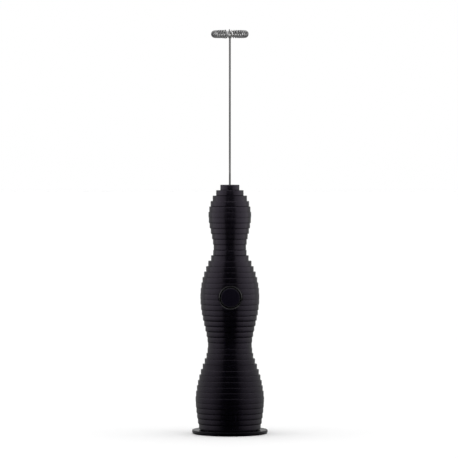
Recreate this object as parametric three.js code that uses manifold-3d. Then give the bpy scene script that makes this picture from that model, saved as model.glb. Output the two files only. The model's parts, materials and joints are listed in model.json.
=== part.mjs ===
// A battery milk frother that stands on its own foot: a body of stacked steps in three bulges, a thumb
// button, and a thin steel shaft with a sprung ring whisk on top.
//
// Units are millimetres. +Z is up and runs along the shaft, the button faces -Y, and the origin is the
// centre of the foot, on the surface that the frother stands on.

import * as THREE from "three";
import { mergeVertices } from "three/addons/utils/BufferGeometryUtils.js";
import Module from "manifold-3d";

const wasm = await Module();
wasm.setup();

// ---------------------------------------------------------------- driving dimensions

const FOOT_RADIUS = 29;
const FOOT_TOP = 2.9;
const FOOT_UNDERSIDE = 0.4; // the rubber ring holds the disc this far off the table
const BODY_BOTTOM = 3.35;
const RINGS = 45; // steps of the body, numbered from the top
const RING_HEIGHT = 4.17;
const BODY_TOP = BODY_BOTTOM + RINGS * RING_HEIGHT;
const TOTAL_HEIGHT = 310;

// Radius of the body against ring number: head, neck, grip, waist and foot.
const OUTLINE = [
  [1, 7.3], [2, 10.5], [3, 13.15], [4, 14.75], [6, 16.35], [8, 15.5], [10, 13.7], [12, 12.4], [13, 12.8],
  [14, 14.4], [15, 16.6], [18, 21], [21, 22.6], [24, 21.5], [28, 17.9], [30, 16.8], [32, 17.95],
  [34, 20.9], [36, 23.5], [38, 25.3], [40, 26.3], [43, 25.2], [45, 23.75],
];
const LAST_CROWN_RING = 6; // the seams hide under the wide rings that overhang them
const LAST_GRIP_RING = 24;
const SEAM = 0.1;

const SHELL_SIDES = 24;
const TURNED_SIDES = 20;
const SMALL_SIDES = 12;

const CELL_RADIUS = 7.05;
const CELL_LENGTH = 50.5;
const CELL_OFFSET = 7.35; // the two cells stand side by side at x = -CELL_OFFSET and +CELL_OFFSET
const NUB_RADIUS = 2.7;
const NUB_HEIGHT = 1;

const BUTTON_Z = BODY_TOP - 20.5 * RING_HEIGHT; // the middle of the widest ring of the grip
const BUTTON_FACE = -23; // y of the button's face
const BUTTON_RADIUS = 7.25;
const BUTTON_TRAVEL = 1.2;
const BEZEL_FACE = -23.2;
const BEZEL_RADIUS = 8.9;
const BEZEL_BORE = 7.5;

const SHAFT_RADIUS = 0.75;
const WHISK_RADIUS = 11.5; // to the middle of the coil
const COIL_RADIUS = 2.6; // to the middle of the coil's wire
const COIL_WIRE_RADIUS = 0.35;
const COIL_TURNS = 39;
const COIL_START = THREE.MathUtils.degToRad(3); // the coil leaves room for the spoke on both sides
const COIL_END = THREE.MathUtils.degToRad(5);
const COIL_FLARE = 0.8; // how far the coil's two cut ends spring open
const WHISK_Z = TOTAL_HEIGHT - COIL_RADIUS - 0.75 * COIL_FLARE - COIL_WIRE_RADIUS;
const SPOKE_ANGLE = THREE.MathUtils.degToRad(262); // towards the front and a little to the left

const LUG_COUNT = 3; // the foot turns by UNLOCK_ANGLE to bring its lugs over the entry slots
const UNLOCK_ANGLE = THREE.MathUtils.degToRad(35);

// ---------------------------------------------------------------- materials

function material(color, roughness, metalness = 0) {
  return new THREE.MeshStandardMaterial({ color, roughness, metalness });
}

const bodyBlack = material(0x121114, 0.42);
const footBlack = material(0x0e0d10, 0.22);
const buttonBlack = material(0x0f0e12, 0.5);
const framePlastic = material(0x8d9094, 0.6);
const bushPlastic = material(0x1b1b1d, 0.45);
const rubber = material(0x161616, 0.9);
const steel = material(0xb9bbbd, 0.25, 1);
const plated = material(0xc9c6bb, 0.35, 1);
const brass = material(0xb5904a, 0.35, 1);
const ferrite = material(0x33343a, 0.7);
const cellWrap = material(0x3c4a55, 0.35, 0.4);
const boardGreen = material(0x1e5a3a, 0.5);
const redLead = material(0xa31d1d, 0.5);
const blackLead = material(0x151515, 0.5);

// ---------------------------------------------------------------- tools

// A closed surface as a manifold-3d solid.
function solid(geometry) {
  const bare = geometry.index ? geometry.toNonIndexed() : geometry.clone();
  bare.deleteAttribute("normal");
  bare.deleteAttribute("uv");
  const merged = mergeVertices(bare, 1e-4);
  return new wasm.Manifold(
    new wasm.Mesh({
      numProp: 3,
      vertProperties: merged.attributes.position.array,
      triVerts: new Uint32Array(merged.index.array),
    }),
  );
}

// A manifold-3d solid as a geometry.
function surface(body) {
  const { vertProperties, triVerts } = body.getMesh();
  const geometry = new THREE.BufferGeometry();
  geometry.setAttribute("position", new THREE.BufferAttribute(vertProperties, 3));
  geometry.setIndex(new THREE.BufferAttribute(triVerts, 1));
  geometry.computeVertexNormals();
  return geometry;
}

function join(...geometries) {
  const solids = geometries.map(solid);
  return surface(solids.reduce((all, next) => all.add(next)));
}

function cut(body, ...tools) {
  const solids = tools.map(solid);
  return surface(solids.reduce((left, tool) => left.subtract(tool), solid(body)));
}

// A turned piece on the Z axis. The profile is [radius, z] points, outer side upwards.
function turned(profile, sides = TURNED_SIDES) {
  const points = profile.map(([r, z]) => new THREE.Vector2(r, z));
  return new THREE.LatheGeometry(points, sides).rotateX(Math.PI / 2);
}

// The same for a hollow piece, whose profile closes on itself.
const turnedHollow = (profile, sides) => turned([...profile, profile[0]], sides);

// A piece turned about the button's own axis. The profile is [radius, y] points, outer side to the back.
function turnedOnButton(profile, sides = TURNED_SIDES) {
  const points = profile.map(([r, y]) => new THREE.Vector2(r, y));
  return new THREE.LatheGeometry(points, sides).translate(0, 0, BUTTON_Z);
}

const hollowOnButton = (profile, sides) => turnedOnButton([...profile, profile[0]], sides);

// A box between two opposite corners.
function block([x0, y0, z0], [x1, y1, z1]) {
  const box = new THREE.BoxGeometry(Math.abs(x1 - x0), Math.abs(y1 - y0), Math.abs(z1 - z0));
  return box.translate((x0 + x1) / 2, (y0 + y1) / 2, (z0 + z1) / 2);
}

// What a function makes for the two sides of the frother in turn, -1 and then 1.
const bothSides = (make) => [-1, 1].map(make);

// A round bar along Z.
function bar(radius, z0, z1, x = 0, y = 0, sides = SMALL_SIDES) {
  const cylinder = new THREE.CylinderGeometry(radius, radius, z1 - z0, sides);
  return cylinder.rotateX(Math.PI / 2).translate(x, y, (z0 + z1) / 2);
}

// A flat shape in XY, pulled from z0 up to z1.
function slab(shape, z0, z1, curveSegments = 8) {
  const depth = z1 - z0;
  return new THREE.ExtrudeGeometry(shape, { depth, bevelEnabled: false, curveSegments }).translate(0, 0, z0);
}

// A wire of round section along a curve.
function wire(path, radius, steps, sides) {
  const section = new THREE.Shape();
  for (let i = 0; i < sides; i++) {
    const a = (2 * Math.PI * i) / sides;
    section[i ? "lineTo" : "moveTo"](radius * Math.cos(a), radius * Math.sin(a));
  }
  section.closePath();
  const options = { extrudePath: path, steps, bevelEnabled: false, curveSegments: 1 };
  return new THREE.ExtrudeGeometry(section, options);
}

// A curve that a function of 0..1 gives.
class Formula extends THREE.Curve {
  constructor(at) {
    super();
    this.at = at;
  }
  getPoint(t) {
    return this.at(t);
  }
  getPointAt(t) {
    return this.at(t);
  }
  getTangentAt(t) {
    return this.getTangent(t);
  }
}

const root = new THREE.Group();

function add(name, geometry, finish) {
  const mesh = new THREE.Mesh(geometry, finish);
  mesh.name = name;
  root.add(mesh);
  return mesh;
}

// ---------------------------------------------------------------- body shells

// The outline's radius at a ring, on a smooth cubic through its points.
function ringRadius(ring) {
  const i = Math.min(OUTLINE.findLastIndex(([k]) => k <= ring), OUTLINE.length - 2);
  const slope = (j) => {
    const [ka, ra] = OUTLINE[Math.max(j - 1, 0)];
    const [kb, rb] = OUTLINE[Math.min(j + 1, OUTLINE.length - 1)];
    return (rb - ra) / (kb - ka);
  };
  const [k0, r0] = OUTLINE[i];
  const [k1, r1] = OUTLINE[i + 1];
  const span = k1 - k0;
  const t = (ring - k0) / span;
  const s = 1 - t;
  const ends = r0 * s * s * (1 + 2 * t) + r1 * t * t * (1 + 2 * s);
  const slopes = span * t * s * (slope(i) * s - slope(i + 1) * t);
  return ends + slopes;
}

const ringTop = (ring) => BODY_TOP - (ring - 1) * RING_HEIGHT;
const ringBottom = (ring) => BODY_TOP - ring * RING_HEIGHT;

// The stepped outside of a shell, from the bottom of one ring up to the top of another.
function steps(lowest, highest) {
  const points = [];
  for (let ring = lowest; ring >= highest; ring--) {
    points.push([ringRadius(ring), ringBottom(ring)], [ringRadius(ring), ringTop(ring)]);
  }
  return points;
}

const CROWN_SEAM = ringBottom(LAST_CROWN_RING);
const GRIP_SEAM = ringBottom(LAST_GRIP_RING);
const SPIGOT_HEIGHT = 4.8; // each shell plugs into the one above by this much
const SPIGOT_SLACK = 0.3;
const BUSH_SEAT = 187.2; // z of the inner face that the shaft bush bears on
const BUSH_BORE = 3.2;
const CROWN_BORE = 14.6;
const GRIP_BORE = 19.4;
const FOOT_BORE = 22.2;

// The insides of the shells, as [radius, z] from the top down. The grip's narrow throat lets the motor pass.
const CROWN_INSIDE = [[5.2, BUSH_SEAT], [5.2, 185.5], [8, 182.5], [11, 177.5], [CROWN_BORE, 171.5]];
const GRIP_INSIDE = [
  [12.8, 161], [12, 153], [10.7, 145], [10.7, 138], [14.6, 127.5], [18, 119], [GRIP_BORE, 113],
];
const LOWER_INSIDE = [
  [17.4, 84], [15.2, 74], [15.2, 65], [15.6, 61.5], [16.3, 60.2], [16.3, 57.3],
  [17.6, 53.1], [19, 49], [FOOT_BORE, 40],
];

// The plug at the top of a shell, from its shoulder on the seam up and over to the shell's inside.
function spigot(outer, inner, seam) {
  const shoulder = seam - SEAM;
  const top = seam + SPIGOT_HEIGHT;
  return [[outer, shoulder], [outer, top], [inner, top]];
}

function crownShell() {
  const bore = [[BUSH_BORE, BODY_TOP], [BUSH_BORE, BUSH_SEAT], ...CROWN_INSIDE, [CROWN_BORE, CROWN_SEAM]];
  return turnedHollow([...steps(LAST_CROWN_RING, 1), ...bore], SHELL_SIDES);
}

function gripShell() {
  const topRing = LAST_CROWN_RING + 1;
  const plug = spigot(CROWN_BORE - SPIGOT_SLACK, GRIP_INSIDE[0][0], CROWN_SEAM);
  const outside = steps(LAST_GRIP_RING, topRing).slice(0, -1);
  const shoulder = [ringRadius(topRing), CROWN_SEAM - SEAM];
  const profile = [...outside, shoulder, ...plug, ...GRIP_INSIDE, [GRIP_BORE, GRIP_SEAM]];
  return cut(turnedHollow(profile, SHELL_SIDES), windowPlug(BEZEL_RADIUS + 0.25));
}

// A round plug along the button's axis, from outside the body to its middle.
function windowPlug(radius) {
  const [outside, middle] = [-30, -10];
  return turnedOnButton([[0, outside], [radius, outside], [radius, middle], [0, middle]], 24);
}

const GROOVE = { radius: 23.2, low: 7.6, high: 9.5 }; // holds the lugs of the foot
const ENTRY = { inner: 21, outer: 22.85, width: 7.5 }; // the slots that let the lugs in from below
const BOSS = { y: 19.3, radius: 2.3, low: 16, high: 25, pilot: 1.1, web: 1.2, wall: 22.8 };

function lowerShell() {
  const topRing = LAST_GRIP_RING + 1;
  const plug = spigot(GRIP_BORE - SPIGOT_SLACK, LOWER_INSIDE[0][0], GRIP_SEAM);
  const outside = steps(RINGS, topRing).slice(0, -1);
  const shoulder = [ringRadius(topRing), GRIP_SEAM - SEAM];
  const groove = [
    [FOOT_BORE, GROOVE.high], [GROOVE.radius, GROOVE.high],
    [GROOVE.radius, GROOVE.low], [FOOT_BORE, GROOVE.low],
  ];
  const profile = [...outside, shoulder, ...plug, ...LOWER_INSIDE, ...groove, [FOOT_BORE, BODY_BOTTOM]];
  const shell = turnedHollow(profile, SHELL_SIDES);
  const bosses = bothSides((side) => bar(BOSS.radius, BOSS.low, BOSS.high, 0, side * BOSS.y));
  const webs = bothSides((side) => {
    const wallEnd = [-BOSS.web, side * BOSS.wall, BOSS.low];
    const bossEnd = [BOSS.web, side * BOSS.y, BOSS.high];
    return block(wallEnd, bossEnd);
  });
  const pilots = bothSides((side) => bar(BOSS.pilot, BOSS.low - 1, BOSS.high - 2, 0, side * BOSS.y, 8));
  const { inner, outer, width } = ENTRY;
  const entries = lugs(inner, outer, BODY_BOTTOM - 1, GROOVE.low + 0.5, width, UNLOCK_ANGLE);
  return cut(join(shell, ...bosses, ...webs), ...pilots, ...entries);
}

// Blocks spread evenly round the axis: the foot's lugs, or the slots that let them in.
function lugs(inner, outer, low, high, width, turn) {
  return Array.from({ length: LUG_COUNT }, (_, i) => {
    const angle = turn + (2 * Math.PI * i) / LUG_COUNT + Math.PI / 6;
    return block([inner, -width / 2, low], [outer, width / 2, high]).rotateZ(angle);
  });
}

add("crown_shell", crownShell(), bodyBlack);
add("grip_shell", gripShell(), bodyBlack);
add("lower_shell", lowerShell(), bodyBlack);

// ---------------------------------------------------------------- foot

const PAD = { inner: 18.5, outer: 25.9, top: 1.2 };
const PAD_SLACK = 0.3;
const FOOT_SPIGOT = { inner: 20, outer: 21.7, top: 9.3 };
const LUG = { outer: 22.7, width: 6, slack: 0.25 };

function footDisc() {
  const recess = [
    [PAD.inner - PAD_SLACK, FOOT_UNDERSIDE], [PAD.inner - PAD_SLACK, PAD.top + PAD_SLACK],
    [PAD.outer + PAD_SLACK, PAD.top + PAD_SLACK], [PAD.outer + PAD_SLACK, FOOT_UNDERSIDE],
  ];
  const rim = [[27.8, FOOT_UNDERSIDE], [28.6, 0.8], [FOOT_RADIUS, 1.5], [FOOT_RADIUS, 2.5], [28.7, FOOT_TOP]];
  const plug = [
    [FOOT_SPIGOT.outer, FOOT_TOP], [FOOT_SPIGOT.outer, FOOT_SPIGOT.top],
    [FOOT_SPIGOT.inner, FOOT_SPIGOT.top], [FOOT_SPIGOT.inner, FOOT_TOP],
  ];
  const disc = turned([[0, FOOT_UNDERSIDE], ...recess, ...rim, ...plug, [0, FOOT_TOP]], SHELL_SIDES);
  const low = GROOVE.low + LUG.slack;
  const high = GROOVE.high - LUG.slack;
  return join(disc, ...lugs(FOOT_SPIGOT.outer - 0.8, LUG.outer, low, high, LUG.width, 0));
}

function footPad() {
  const section = [[PAD.outer, 0], [PAD.outer, PAD.top], [PAD.inner, PAD.top], [PAD.inner, 0]];
  return turnedHollow(section, SHELL_SIDES);
}

add("base_disc", footDisc(), footBlack);
add("foot_pad", footPad(), rubber);

// ---------------------------------------------------------------- battery compartment

const BOX = { bottom: 10, top: 58.9, lid: 60, wall: 8.5, bore: 7.4 };
const BOX_FLANGE = { low: 14, high: 15.5, radius: 21.7 };
const SCREW_Y = 5.3; // the screws between the battery box and the frame pass between the cells
const STRIP = { half: 12, width: 3, low: 4.8, top: 5.2 };
const CARRIER = { radius: 19.4, low: 3.3, high: 4.6, tabInner: 8.9, tabOuter: 10.4, tabTop: 13.4 };
const PLUS_PLATE = { low: 58.45, high: 58.7, half: 3.5 };
const LEAD_START = 61.5; // z of the tabs that the two battery leads are soldered to

// Two half circles joined by straight sides, around both cells.
function stadium(radius, centre = CELL_OFFSET) {
  const shape = new THREE.Shape();
  shape.moveTo(centre, -radius);
  shape.absarc(centre, 0, radius, -Math.PI / 2, Math.PI / 2);
  shape.absarc(-centre, 0, radius, Math.PI / 2, (3 * Math.PI) / 2);
  shape.closePath();
  return shape;
}

function batteryBox() {
  const tube = stadium(BOX.wall);
  tube.holes.push(stadium(BOX.bore));
  const disc = new THREE.Shape().absarc(0, 0, BOX_FLANGE.radius, 0, 2 * Math.PI);
  disc.holes.push(stadium(BOX.bore + 0.4));
  const walls = slab(tube, BOX.bottom, BOX.top + 0.2);
  const flange = slab(disc, BOX_FLANGE.low, BOX_FLANGE.high, 5);
  const lid = slab(stadium(8.1, 7.2), BOX.top, BOX.lid);
  const holes = bothSides((side) => [
    bar(1.2, BOX.top - 1, BOX.lid + 1, side * CELL_OFFSET, 0, 8),
    bar(1.3, BOX.top - 1, BOX.lid + 1, 0, side * SCREW_Y, 8),
    bar(1.5, BOX_FLANGE.low - 1, BOX_FLANGE.high + 1, 0, side * BOSS.y, 8),
  ]);
  return cut(join(walls, flange, lid), ...holes.flat());
}

// A round cell standing on its flat end.
function cell() {
  const shoulder = CELL_LENGTH - NUB_HEIGHT;
  return turned([
    [0, 0], [CELL_RADIUS, 0], [CELL_RADIUS, shoulder], [NUB_RADIUS, shoulder], [NUB_RADIUS, CELL_LENGTH],
    [0, CELL_LENGTH],
  ]);
}

// A conical spring round the line x: three turns from a small one at z0 to a wide one at z1.
function coneSpring(x, z0, z1) {
  const turns = 3;
  const [tip, foot] = [2, 4.6];
  const path = new Formula((t) => {
    const radius = tip + (foot - tip) * t;
    const angle = 2 * Math.PI * turns * t;
    return new THREE.Vector3(x + radius * Math.cos(angle), radius * Math.sin(angle), z0 + (z1 - z0) * t);
  });
  return wire(path, 0.28, 24, 4);
}

// The same with its wide end run in to the middle and up to z2, where its lead is soldered on.
function tailedSpring(x, z0, z1, z2) {
  const spring = coneSpring(x, z0, z1);
  const run = block([x - 0.25, -0.25, z1 - 0.25], [x + 4.7, 0.25, z1 + 0.25]);
  const tail = block([x - 0.25, -0.25, z1 - 0.25], [x + 0.25, 0.25, z2]);
  return join(spring, run, tail);
}

// The insulating disc that carries the bridge between the cells. Its two tabs hold it square to the box,
// so that it stays put while the foot turns under it.
function contactCarrier() {
  const disc = bar(CARRIER.radius, CARRIER.low, CARRIER.high, 0, 0, 32);
  const tabs = bothSides((side) => {
    const inner = [-4, side * CARRIER.tabInner, CARRIER.high - 0.2];
    const outer = [4, side * CARRIER.tabOuter, CARRIER.tabTop];
    return block(inner, outer);
  });
  return join(disc, ...tabs);
}

function bridgeStrip() {
  const strip = block([-STRIP.half, -STRIP.width, STRIP.low], [STRIP.half, STRIP.width, STRIP.top]);
  const dimple = bar(3, STRIP.top - 0.1, STRIP.top + 0.15, -CELL_OFFSET);
  return join(strip, dimple);
}

function positivePlate() {
  const [left, right] = [CELL_OFFSET - PLUS_PLATE.half, CELL_OFFSET + PLUS_PLATE.half];
  const plate = block([left, -PLUS_PLATE.half, PLUS_PLATE.low], [right, PLUS_PLATE.half, PLUS_PLATE.high]);
  const tab = block([CELL_OFFSET - 0.8, -0.2, PLUS_PLATE.low + 0.05], [CELL_OFFSET + 0.8, 0.2, LEAD_START]);
  return join(plate, tab);
}

// A cheese-head screw with a cross slot, head down.
function screw(x, y, headBottom, length) {
  const head = { radius: 1.8, height: 1.1 };
  const shank = 0.85;
  const blank = turned([
    [0, 0], [head.radius, 0], [head.radius, head.height], [shank, head.height], [shank, length - 0.7],
    [0.3, length], [0, length],
  ], SMALL_SIDES);
  const slot = { width: 0.22, reach: 1.1, depth: 0.6 };
  const recess = [
    block([-slot.reach, -slot.width, -1], [slot.reach, slot.width, slot.depth]),
    block([-slot.width, -slot.reach, -1], [slot.width, slot.reach, slot.depth]),
  ];
  return cut(blank, ...recess).translate(x, y, headBottom);
}

const upsideDownCell = cell().rotateX(Math.PI).translate(-CELL_OFFSET, 0, STRIP.top + 0.3 + CELL_LENGTH);

add("battery_box", batteryBox(), framePlastic);
add("battery_cell_1", upsideDownCell, cellWrap);
add("battery_cell_2", cell().translate(CELL_OFFSET, 0, PLUS_PLATE.low - 0.15 - CELL_LENGTH), cellWrap);
add("negative_spring", tailedSpring(-CELL_OFFSET, 56.42, 58.4, LEAD_START), plated);
add("positive_plate", positivePlate(), plated);
add("contact_carrier", contactCarrier(), framePlastic);
add("bridge_strip", bridgeStrip(), plated);
add("bridge_spring", coneSpring(CELL_OFFSET, 7.4, 5.65), plated);

// ---------------------------------------------------------------- inner frame

const FRAME_FLANGE = { low: 60.4, high: 62.8, radius: 14.7 };
const SPINE = { half: 9, front: 2, back: 4.4 };
const SWITCH_RIB = { inner: 6.9, outer: 8.5, front: -7.9, low: 98, high: 112 };
const STIFFENER = { half: 0.9, back: 8.2, high: 128 };
const CRADLE = { low: 141, high: 144.5, outer: 10.2, inner: 8.3 };
const ARM = { half: 3.5, inner: 7.85, outer: 9.3, top: 177.2 };
const HOOK = { reach: 6.8, low: 176 };

function innerFrame() {
  const foot = FRAME_FLANGE.high - 0.5;
  const flange = bar(FRAME_FLANGE.radius, FRAME_FLANGE.low, FRAME_FLANGE.high, 0, 0, 28);
  const spine = block([-SPINE.half, SPINE.front, foot], [SPINE.half, SPINE.back, CRADLE.high - 1]);
  const { half, back, high } = STIFFENER;
  const stiffener = block([-half, SPINE.back - 0.3, foot], [half, back, high]);
  const cradle = turnedHollow([
    [CRADLE.outer, CRADLE.low], [CRADLE.outer, CRADLE.high],
    [CRADLE.inner, CRADLE.high], [CRADLE.inner, CRADLE.low],
  ], 28);
  const sidePieces = bothSides((side) => {
    const ribFront = [side * SWITCH_RIB.inner, SWITCH_RIB.front, SWITCH_RIB.low];
    const ribBack = [side * SWITCH_RIB.outer, SPINE.front + 0.2, SWITCH_RIB.high];
    const hookTip = [-ARM.half, side * HOOK.reach, HOOK.low];
    const armFoot = [-ARM.half, side * ARM.inner, CRADLE.high - 1.5];
    const armTop = [ARM.half, side * ARM.outer, ARM.top];
    return [block(ribFront, ribBack), block(armFoot, armTop), block(hookTip, armTop)];
  });
  const holes = bothSides((side) => [
    bar(1.8, FRAME_FLANGE.low - 1, FRAME_FLANGE.high + 1, side * CELL_OFFSET),
    bar(1.05, FRAME_FLANGE.low - 1, FRAME_FLANGE.high + 2.2, 0, side * SCREW_Y, 8),
  ]);
  return cut(join(flange, spine, stiffener, cradle, ...sidePieces.flat()), ...holes.flat());
}

add("inner_frame", innerFrame(), framePlastic);
bothSides((side) => {
  const number = side < 0 ? 1 : 2;
  add(`frame_screw_${number}`, screw(0, side * SCREW_Y, 57.6, 6.6), steel);
  add(`flange_screw_${number}`, screw(0, side * BOSS.y, BOX_FLANGE.low - 1.3, 9), steel);
});

// ---------------------------------------------------------------- motor

const MOTOR = { low: 148, high: 173, radius: 10.05, flat: 7.55, wall: 0.9 };
const MOTOR_BOSS = { radius: 3.05, height: 1.3 };
const END_BELL = { low: 145.4, high: 147.7, radius: 9.8, flat: 7.4 };
const TERMINAL = { x: 6.5, low: 143.2, high: 147, half: 0.2, width: 1.2 };
const MAGNET = { outer: 8.9, inner: 6.9, low: 151, high: 167 };
const RETAINER = { low: 174.4, high: 175.8, radius: 10, flat: 7.5, bore: 3.4 };
const DAMPER = { low: 173.2, high: 174.1, outer: 7.2, inner: 3.4 };

// A circle with two flat sides.
function flattened(radius, flat) {
  const angle = Math.asin(flat / radius);
  const shape = new THREE.Shape();
  shape.moveTo(radius * Math.cos(angle), -flat);
  shape.absarc(0, 0, radius, -angle, angle);
  shape.absarc(0, 0, radius, Math.PI - angle, Math.PI + angle);
  shape.closePath();
  return shape;
}

function motorCan() {
  const outside = slab(flattened(MOTOR.radius, MOTOR.flat), MOTOR.low, MOTOR.high);
  const boss = bar(MOTOR_BOSS.radius, MOTOR.high - 0.5, MOTOR.high + MOTOR_BOSS.height, 0, 0, 16);
  const room = flattened(MOTOR.radius - MOTOR.wall, MOTOR.flat - MOTOR.wall);
  const inside = slab(room, MOTOR.low - 1, MOTOR.high - 1);
  const bore = bar(1.3, MOTOR.high - 2, MOTOR.high + 2);
  return cut(join(outside, boss), inside, bore);
}

function motorEndBell() {
  const plate = slab(flattened(END_BELL.radius, END_BELL.flat), END_BELL.low, END_BELL.high);
  const socket = bar(2, END_BELL.low + 1.2, END_BELL.high + 0.3);
  const slots = bothSides((side) => {
    const inner = [side * (TERMINAL.x - 0.5), -1.6, END_BELL.low - 0.4];
    const outer = [side * (TERMINAL.x + 0.5), 1.6, END_BELL.high + 0.3];
    return block(inner, outer);
  });
  return cut(plate, socket, ...slots);
}

function motorTerminal(side) {
  const inner = [side * TERMINAL.x - TERMINAL.half, -TERMINAL.width, TERMINAL.low];
  const outer = [side * TERMINAL.x + TERMINAL.half, TERMINAL.width, TERMINAL.high];
  return block(inner, outer);
}

function motorMagnet(side) {
  const halfSpan = THREE.MathUtils.degToRad(42);
  const shape = new THREE.Shape();
  shape.absarc(0, 0, MAGNET.outer, -halfSpan, halfSpan);
  shape.absarc(0, 0, MAGNET.inner, halfSpan, -halfSpan, true);
  shape.closePath();
  const magnet = slab(shape, MAGNET.low, MAGNET.high);
  return side < 0 ? magnet.rotateZ(Math.PI) : magnet;
}

// From the bottom up: the shaft's lower end, the commutator, the core, and the long upper end of the shaft.
function motorRotor() {
  return turned([
    [0, 146.9], [1, 146.9], [1, 149], [2.3, 149], [2.3, 152], [4.4, 152.6], [6.3, 153], [6.3, 165],
    [4.4, 165.6], [1, 166], [1, 179.2], [0, 179.2],
  ], 16);
}

function motorDamper() {
  return turnedHollow([
    [DAMPER.outer, DAMPER.low], [DAMPER.outer, DAMPER.high],
    [DAMPER.inner, DAMPER.high], [DAMPER.inner, DAMPER.low],
  ], 16);
}

// The plate that the frame's hooks hold down on the motor.
function motorRetainer() {
  const plate = slab(flattened(RETAINER.radius, RETAINER.flat), RETAINER.low, RETAINER.high);
  return cut(plate, bar(RETAINER.bore, RETAINER.low - 1, RETAINER.high + 1, 0, 0, 16));
}

add("motor_can", motorCan(), steel);
add("motor_end_bell", motorEndBell(), bushPlastic);
bothSides((side) => {
  const number = side < 0 ? 1 : 2;
  add(`motor_terminal_${number}`, motorTerminal(side), plated);
  add(`motor_magnet_${number}`, motorMagnet(side), ferrite);
});
add("motor_rotor", motorRotor(), steel);
add("motor_damper", motorDamper(), rubber);
add("motor_retainer", motorRetainer(), framePlastic);

// ---------------------------------------------------------------- drive and whisk

const COUPLING = { low: 174.9, high: 184.9, web: 179.4, radius: 2.6, motorBore: 1.12, shaftBore: 0.88 };
const BUSH = { bottom: 186.1, flange: 4.4, body: BUSH_BORE - 0.2, bore: 0.95 };
const SHAFT_START = 180.5;
const HOOP_RADIUS = WHISK_RADIUS + 0.35; // the hoop lies low inside the coil
const HOOP_Z = WHISK_Z - 1.1;
const SPOKE_Z = HOOP_Z + 0.2; // the spoke leaves the shaft inside the whisk's own height

function driveCoupling() {
  const webTop = COUPLING.web + 0.8;
  return turned(
    [
      [0, COUPLING.web], [COUPLING.motorBore, COUPLING.web], [COUPLING.motorBore, COUPLING.low],
      [2.2, COUPLING.low], [COUPLING.radius, COUPLING.low + 0.4], [COUPLING.radius, 183],
      [1.6, COUPLING.high], [COUPLING.shaftBore, COUPLING.high], [COUPLING.shaftBore, webTop], [0, webTop],
    ],
    SMALL_SIDES,
  );
}

function shaftBush() {
  const shoulder = BUSH_SEAT - 0.2;
  const top = BODY_TOP - 0.3;
  return turnedHollow([
    [BUSH.flange, BUSH.bottom], [BUSH.flange, shoulder], [BUSH.body, shoulder], [BUSH.body, top],
    [BUSH.bore, top], [BUSH.bore, BUSH.bottom],
  ], SMALL_SIDES);
}

// The point at a radius and an angle round the axis.
function around(radius, angle, z) {
  return new THREE.Vector3(radius * Math.cos(angle), radius * Math.sin(angle), z);
}

// The shaft, its spoke and the hoop are one length of wire: straight up, a tight bend at the top, straight
// out to the hoop, and round it until just short of the spoke.
function whiskShaft() {
  const bendStart = SPOKE_Z - 2.4;
  const bend = [
    new THREE.Vector3(0, 0, bendStart), around(0.12, SPOKE_ANGLE, SPOKE_Z - 1.4),
    around(0.9, SPOKE_ANGLE, SPOKE_Z - 0.35), around(2.2, SPOKE_ANGLE, SPOKE_Z),
  ];
  const spoke = [around(6, SPOKE_ANGLE, SPOKE_Z), around(9.2, SPOKE_ANGLE, SPOKE_Z - 0.1)];
  const corner = [around(11.1, SPOKE_ANGLE + 0.035, HOOP_Z), around(11.75, SPOKE_ANGLE + 0.13, HOOP_Z)];
  const hoopStart = SPOKE_ANGLE + THREE.MathUtils.degToRad(16);
  const hoopSpan = 2 * Math.PI - THREE.MathUtils.degToRad(28);
  const hoopSteps = 12;
  const hoop = Array.from({ length: hoopSteps + 1 }, (_, i) => {
    return around(HOOP_RADIUS, hoopStart + (hoopSpan * i) / hoopSteps, HOOP_Z);
  });
  const path = new THREE.CatmullRomCurve3([...bend, ...spoke, ...corner, ...hoop], false, "centripetal");
  return join(bar(SHAFT_RADIUS, SHAFT_START, bendStart + 0.05, 0, 0, 8), wire(path, SHAFT_RADIUS, 44, 6));
}

// The coil is wound round the hoop. Its first turn springs open upwards and its last turn downwards.
function whiskCoil() {
  const start = SPOKE_ANGLE + COIL_START;
  const span = 2 * Math.PI - COIL_START - COIL_END;
  const path = new Formula((t) => {
    const turn = COIL_TURNS * t;
    const fromEnd = Math.min(turn, COIL_TURNS - turn);
    const coil = COIL_RADIUS + COIL_FLARE * Math.max(0, 1 - fromEnd);
    const phase = 2 * Math.PI * turn;
    const radius = WHISK_RADIUS + COIL_RADIUS * Math.cos(phase);
    return around(radius, start + span * t, WHISK_Z + coil * Math.sin(phase));
  });
  return wire(path, COIL_WIRE_RADIUS, COIL_TURNS * 8, 4);
}

add("drive_coupling", driveCoupling(), brass);
add("shaft_bush", shaftBush(), bushPlastic);
add("whisk_shaft", whiskShaft(), steel);
add("whisk_coil", whiskCoil(), steel);

// ---------------------------------------------------------------- switch

const LIP = { radius: 7.9, front: -20.4, back: -19.4 }; // keeps the button behind the bezel
const STEM = { radius: 1.9, neck: 1 };
const BRIDGE = { radius: 4.4, bore: 1.15, front: -11.7, back: -11.3 };
const BASE_PLATE = { front: -13.6, back: -12.4, halfX: 8.8, halfZ: 8 };
const BOARD = { front: -9.4, back: -8.2 };
const BEZEL_FLANGE = { radius: 9.9, bore: 8.15, front: -16.4, back: -15.6, step: -20.7 };
const SPRING = { radius: 3.2, wire: 0.25, turns: 4.5 };
const LEG = { x: 7.6, z: 6.8, half: 0.8 };
const CONTACT = { x: 2.8, halfX: 1.4, halfZ: 2.5, thickness: 0.38, gap: 0.12 };

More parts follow.
